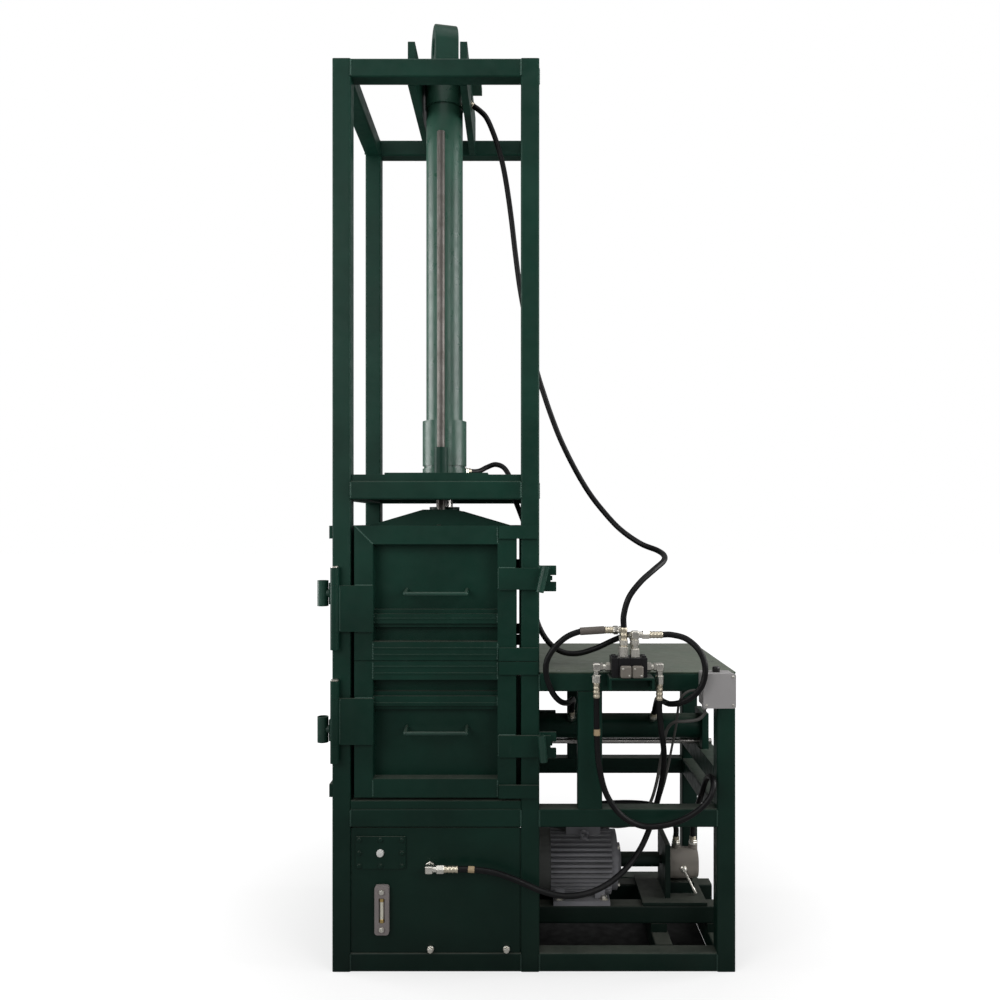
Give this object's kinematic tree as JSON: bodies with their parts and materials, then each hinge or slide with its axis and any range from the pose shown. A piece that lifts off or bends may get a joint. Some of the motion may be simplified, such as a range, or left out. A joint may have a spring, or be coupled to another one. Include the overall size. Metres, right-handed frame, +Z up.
{
  "type": "recycling baler",
  "caption": "Vertical hydraulic baler: square-tube press frame with a doored bale chamber, a side ram under a table, an oil tank and a motor-driven power pack with hoses.",
  "frame": {"origin": "centre of the rigid machine's bounding box, at the floor", "axes": "+Z up, -Y towards the operator at the front doors, +X towards the table and power pack"},
  "size_m": [1.135, 0.6679, 2.706],
  "materials": {
    "green_paint": "semi-gloss dark green paint",
    "dark_paint": "semi-gloss dark green paint",
    "chrome_rod": "polished hard chrome",
    "steel": "machined steel",
    "zinc": "bright zinc plate",
    "motor_paint": "satin grey paint",
    "cast_metal": "cast, as machined",
    "valve_black": "black paint",
    "box_plastic": "matt grey",
    "button_plastic": "gloss black",
    "hose_rubber": "satin black cover"
  },
  "bodies": {
    "frame": {"main_columns": "green_paint", "side_posts": "green_paint", "upper_rails": "green_paint", "lower_rails": "green_paint", "table_sheet": "green_paint", "chamber_floor": "green_paint", "chamber_wall": "green_paint", "rear_panels": "green_paint", "crosshead_plate": "green_paint", "cylinder_side_plates": "green_paint", "press_cylinder": "green_paint", "press_head": "green_paint", "lifting_eye": "green_paint", "guide_bush": "green_paint", "ram_wall": "green_paint", "ram_beam": "green_paint", "ram_cylinder": "green_paint", "hinge_knuckles": "green_paint", "latch_keepers": "green_paint", "oil_tank": "green_paint", "tank_cover": "green_paint", "valve_bracket": "green_paint", "motor_rails": "dark_paint", "motor_fan_cover": "dark_paint", "pump_bracket": "dark_paint", "hinge_pins": "zinc", "pipe_fittings": "zinc", "fasteners": "zinc", "motor_body": "motor_paint", "level_gauge": "cast_metal", "gear_pump": "cast_metal", "control_valve": "valve_black", "switch_box": "box_plastic", "press_cap_hose": "hose_rubber", "press_rod_hose": "hose_rubber", "ram_cap_hose": "hose_rubber", "ram_rod_hose": "hose_rubber", "pressure_hose": "hose_rubber", "return_hose": "hose_rubber", "suction_hose": "hose_rubber", "motor_cable": "hose_rubber"},
    "press_ram": {"press_rod": "chrome_rod", "press_platen": "green_paint", "guide_rod": "chrome_rod"},
    "side_ram": {"ram_rod": "chrome_rod", "push_plate": "green_paint", "ram_guide_rod": "chrome_rod"},
    "upper_door": {"front_upper_door": "green_paint", "front_upper_handle": "dark_paint"},
    "lower_door": {"front_lower_door": "green_paint", "front_lower_handle": "dark_paint"},
    "side_door": {"left_door": "green_paint"},
    "upper_latch": {"front_upper_latch": "dark_paint"},
    "lower_latch": {"front_lower_latch": "dark_paint"},
    "side_upper_latch": {"left_upper_latch": "dark_paint"},
    "side_lower_latch": {"left_lower_latch": "dark_paint"},
    "drive": {"drive_shaft": "steel"},
    "button": {"switch_button": "button_plastic"}
  },
  "joints": [
    {"name": "press_stroke", "type": "slide", "parent": "frame", "child": "press_ram", "axis": [0, 0, -1], "range_m": [0, 0.7]},
    {"name": "side_ram_stroke", "type": "slide", "parent": "frame", "child": "side_ram", "axis": [1, 0, 0], "range_m": [-0.24, 0]},
    {"name": "upper_door_hinge", "type": "hinge", "parent": "frame", "child": "upper_door", "pos_m": [-0.5125, -0.25625, 0.982], "axis": [0, 0, -1], "range_deg": [0, 150]},
    {"name": "lower_door_hinge", "type": "hinge", "parent": "frame", "child": "lower_door", "pos_m": [-0.5125, -0.25625, 0.678], "axis": [0, 0, -1], "range_deg": [0, 150]},
    {"name": "side_door_hinge", "type": "hinge", "parent": "frame", "child": "side_door", "pos_m": [-0.535, 0.30625, 0.83], "axis": [0, 0, -1], "range_deg": [0, 150]},
    {"name": "upper_latch_turn", "type": "hinge", "parent": "upper_door", "child": "upper_latch", "pos_m": [0.0455, -0.27775, 1.062], "axis": [0, 1, 0], "range_deg": [0, 90]},
    {"name": "lower_latch_turn", "type": "hinge", "parent": "lower_door", "child": "lower_latch", "pos_m": [0.0455, -0.27775, 0.611], "axis": [0, 1, 0], "range_deg": [0, 90]},
    {"name": "side_upper_latch_turn", "type": "hinge", "parent": "side_door", "child": "side_upper_latch", "pos_m": [-0.5565, -0.21875, 1.021], "axis": [1, 0, 0], "range_deg": [0, 90]},
    {"name": "side_lower_latch_turn", "type": "hinge", "parent": "side_door", "child": "side_lower_latch", "pos_m": [-0.5565, -0.21875, 0.65], "axis": [1, 0, 0], "range_deg": [0, 90]},
    {"name": "drive_spin", "type": "hinge", "parent": "frame", "child": "drive", "pos_m": [0.3375, -0.02175, 0.22], "axis": [1, 0, 0], "continuous": true},
    {"name": "button_press", "type": "slide", "parent": "frame", "child": "button", "axis": [0, 0, -1], "range_m": [0, 0.004], "stiffness_N_per_m": 600}
  ]
}
